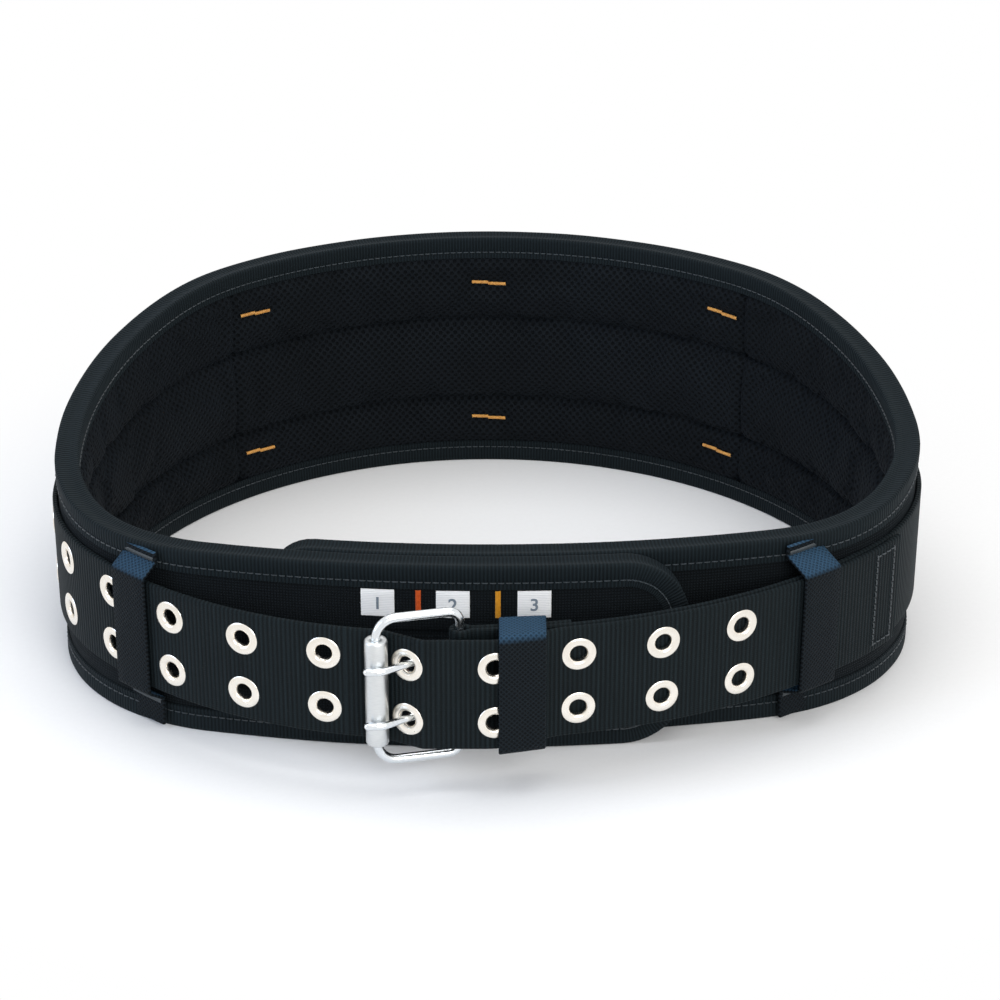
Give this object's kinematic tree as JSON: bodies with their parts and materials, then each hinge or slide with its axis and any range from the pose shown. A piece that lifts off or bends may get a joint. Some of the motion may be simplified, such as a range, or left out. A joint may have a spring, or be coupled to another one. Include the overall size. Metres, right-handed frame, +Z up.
{
  "type": "padded tool belt",
  "caption": "Wide padded waist belt with a grommeted webbing strap held in sewn loops and closed by a double-tongue roller buckle.",
  "frame": {"origin": "middle of the bottom of the whole object, which stands on its lower edge", "axes": "+X to the wearer's left as the buckle is faced, along the longest extent; -Y out of the buckle; +Z up"},
  "size_m": [0.3906, 0.348, 0.123],
  "materials": {
    "cover_fabric": "woven polyester",
    "foam": "closed-cell foam",
    "air_mesh": "knitted air mesh",
    "binding_tape": "ribbed tape",
    "webbing": "woven polyester webbing",
    "hook_and_loop": "hook and loop",
    "tack_thread": "bonded thread",
    "dark_thread": "bonded thread",
    "label": "white woven label",
    "label_print": "print",
    "mark_thread": "embroidery thread",
    "grommet_metal": "nickel plate",
    "buckle_metal": "nickel plate"
  },
  "bodies": {
    "belt": {"bar_tacks": "tack_thread", "belt_loop_back_centre": "webbing", "belt_loop_back_left": "webbing", "belt_loop_back_right": "webbing", "belt_loop_left_front": "webbing", "belt_loop_right_front": "webbing", "binding_bottom": "binding_tape", "binding_left_end": "binding_tape", "binding_right_end": "binding_tape", "binding_top": "binding_tape", "buckle_grommets": "grommet_metal", "buckle_washers": "grommet_metal", "chape_stitching": "dark_thread", "foam_back": "foam", "foam_left": "foam", "foam_right": "foam", "grommet_washers": "grommet_metal", "grommets": "grommet_metal", "hook_patch": "hook_and_loop", "loop_patch": "hook_and_loop", "mesh_lining_back": "air_mesh", "mesh_lining_left": "air_mesh", "mesh_lining_right": "air_mesh", "outer_cover_back": "cover_fabric", "outer_cover_left": "cover_fabric", "outer_cover_right": "cover_fabric", "size_digits": "label_print", "size_label_1": "label", "size_label_2": "label", "size_label_3": "label", "size_mark_1": "mark_thread", "size_mark_2": "mark_thread", "strap": "webbing", "strap_free_end": "webbing", "strap_span": "webbing", "tip_stitching": "dark_thread"},
    "buckle_frame": {"buckle_frame": "buckle_metal"},
    "roller": {"roller": "buckle_metal"},
    "upper_tongue": {"upper_tongue": "buckle_metal"},
    "lower_tongue": {"lower_tongue": "buckle_metal"},
    "keeper": {"keeper": "webbing"}
  },
  "joints": [
    {"name": "frame_tilt", "type": "hinge", "parent": "belt", "child": "buckle_frame", "pos_m": [-0.01155, -0.15777, 0.0475], "axis": [0, 0, 1], "range_deg": [-5, 5], "deforming": ["strap_span", "buckle_grommets", "buckle_washers"]},
    {"name": "roller_spin", "type": "hinge", "parent": "buckle_frame", "child": "roller", "pos_m": [-0.04555, -0.16567, 0.0475], "axis": [0, 0, 1], "continuous": true},
    {"name": "upper_tongue_swing", "type": "hinge", "parent": "buckle_frame", "child": "upper_tongue", "pos_m": [-0.01155, -0.15777, 0.0602], "axis": [0, 0, 1], "range_deg": [0, 2.5]},
    {"name": "lower_tongue_swing", "type": "hinge", "parent": "buckle_frame", "child": "lower_tongue", "pos_m": [-0.01155, -0.15777, 0.0348], "axis": [0, 0, 1], "range_deg": [0, 2.5]},
    {"name": "keeper_slide", "type": "slide", "parent": "belt", "child": "keeper", "axis": [0.9903, 0.1392, 0], "range_m": [-0.002, 0.005]}
  ]
}
